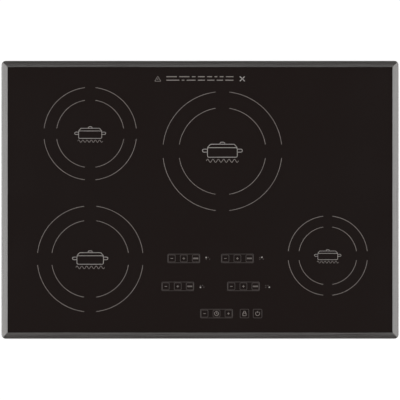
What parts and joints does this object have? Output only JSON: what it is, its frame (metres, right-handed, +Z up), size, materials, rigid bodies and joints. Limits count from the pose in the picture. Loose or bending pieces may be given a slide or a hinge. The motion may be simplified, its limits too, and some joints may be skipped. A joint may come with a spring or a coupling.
{
  "type": "induction cooktop",
  "caption": "Drop-in induction cooktop: framed black glass over a vented steel burner box with sprung coil trays, blowers and hold-down clamps.",
  "frame": {"origin": "middle of the footprint, on the plane of the feet's undersides", "axes": "+X to the cook's right along the width, +Y to the back of the worktop, +Z up out of the worktop"},
  "size_m": [0.762, 0.5334, 0.09],
  "materials": {
    "glass_ceramic": "polished black glass-ceramic with grey ceramic print",
    "bezel_aluminium": "brushed, grey",
    "key_steel": "stamped, zinc plated",
    "silicone": "cured bead, satin",
    "foam_gasket": "closed-cell foam, matt",
    "galvanised_steel": "galvanised sheet with a faint spangle",
    "black_rubber": "moulded, matt",
    "zinc_screws": "bright zinc plate",
    "turned_steel": "turned",
    "clamp_plastic": "moulded, fine grain",
    "fan_plastic": "glass-filled, black",
    "wheel_plastic": "moulded, satin",
    "motor_metal": "die cast",
    "circuit_board": "green solder mask",
    "aluminium_fins": "extruded, plain",
    "aluminium_plain": "mill finish sheet",
    "transistor_epoxy": "moulded epoxy with tinned leads",
    "capacitor_case": "moulded box",
    "choke_winding": "enamelled wire on a ferrite core",
    "filter_parts": "moulded cases",
    "terminal_plastic": "ivory polyamide",
    "earth_brass": "turned brass",
    "copper_litz": "enamelled litz wire",
    "coil_plastic": "heat-resistant black",
    "ferrite": "sintered, grey-black",
    "sensor_silicone": "red silicone",
    "spring_steel": "drawn wire",
    "holder_plastic": "moulded, pale"
  },
  "bodies": {
    "burner_box": {"glass_top": "glass_ceramic", "bezel_front": "bezel_aluminium", "bezel_rear": "bezel_aluminium", "bezel_left": "bezel_aluminium", "bezel_right": "bezel_aluminium", "bezel_corner_keys": "key_steel", "silicone_beads": "silicone", "worktop_gasket": "foam_gasket", "bottom_pan": "galvanised_steel", "front_wall": "galvanised_steel", "rear_wall": "galvanised_steel", "left_wall": "galvanised_steel", "right_wall": "galvanised_steel", "rubber_feet": "black_rubber", "case_screws": "zinc_screws", "support_posts": "turned_steel", "clamp_brackets": "galvanised_steel", "fan_housing_left": "fan_plastic", "fan_housing_right": "fan_plastic", "fan_motors": "motor_metal", "inverter_board_left": "circuit_board", "inverter_board_right": "circuit_board", "heatsink_left": "aluminium_fins", "heatsink_right": "aluminium_fins", "power_transistors_left": "transistor_epoxy", "power_transistors_right": "transistor_epoxy", "film_capacitors_left": "capacitor_case", "film_capacitors_right": "capacitor_case", "chokes_left": "choke_winding", "chokes_right": "choke_winding", "filter_board": "circuit_board", "filter_components": "filter_parts", "terminal_block": "terminal_plastic", "conduit_bushing": "clamp_plastic", "earth_stud": "earth_brass", "touch_holder": "holder_plastic", "touch_board": "circuit_board", "touch_springs": "spring_steel"},
    "tray_left": {"coil_tray_left": "aluminium_plain", "tray_springs_left": "spring_steel", "ferrites_left": "ferrite", "coil_sensors_left": "sensor_silicone", "coil_winding_rear_left": "copper_litz", "coil_winding_front_left": "copper_litz", "coil_former_rear_left": "coil_plastic", "coil_former_front_left": "coil_plastic"},
    "tray_right": {"coil_tray_right": "aluminium_plain", "tray_springs_right": "spring_steel", "ferrites_right": "ferrite", "coil_sensors_right": "sensor_silicone", "coil_winding_rear_centre": "copper_litz", "coil_winding_front_right": "copper_litz", "coil_former_rear_centre": "coil_plastic", "coil_former_front_right": "coil_plastic"},
    "fan_left": {"fan_impeller_left": "wheel_plastic"},
    "fan_right": {"fan_impeller_right": "wheel_plastic"},
    "clamp_left": {"clamp_screw_left": "zinc_screws", "clamp_cap_left": "clamp_plastic"},
    "clamp_right": {"clamp_screw_right": "zinc_screws", "clamp_cap_right": "clamp_plastic"}
  },
  "joints": [
    {"name": "tray_left_float", "type": "slide", "parent": "burner_box", "child": "tray_left", "axis": [0, 0, 1], "range_m": [-0.0025, 0], "stiffness_N_per_m": 8000, "springref_m": 0.0075, "deforming": ["tray_springs_left"]},
    {"name": "tray_right_float", "type": "slide", "parent": "burner_box", "child": "tray_right", "axis": [0, 0, 1], "range_m": [-0.0025, 0], "stiffness_N_per_m": 8000, "springref_m": 0.0075, "deforming": ["tray_springs_right"]},
    {"name": "fan_left_spin", "type": "hinge", "parent": "burner_box", "child": "fan_left", "pos_m": [-0.25, -0.15, 0.03], "axis": [0, 0, 1], "continuous": true},
    {"name": "fan_right_spin", "type": "hinge", "parent": "burner_box", "child": "fan_right", "pos_m": [0.25, -0.15, 0.03], "axis": [0, 0, 1], "continuous": true},
    {"name": "clamp_left_raise", "type": "slide", "parent": "burner_box", "child": "clamp_left", "axis": [0, 0, 1], "range_m": [0, 0.02]},
    {"name": "clamp_right_raise", "type": "slide", "parent": "burner_box", "child": "clamp_right", "axis": [0, 0, 1], "range_m": [0, 0.02]}
  ]
}
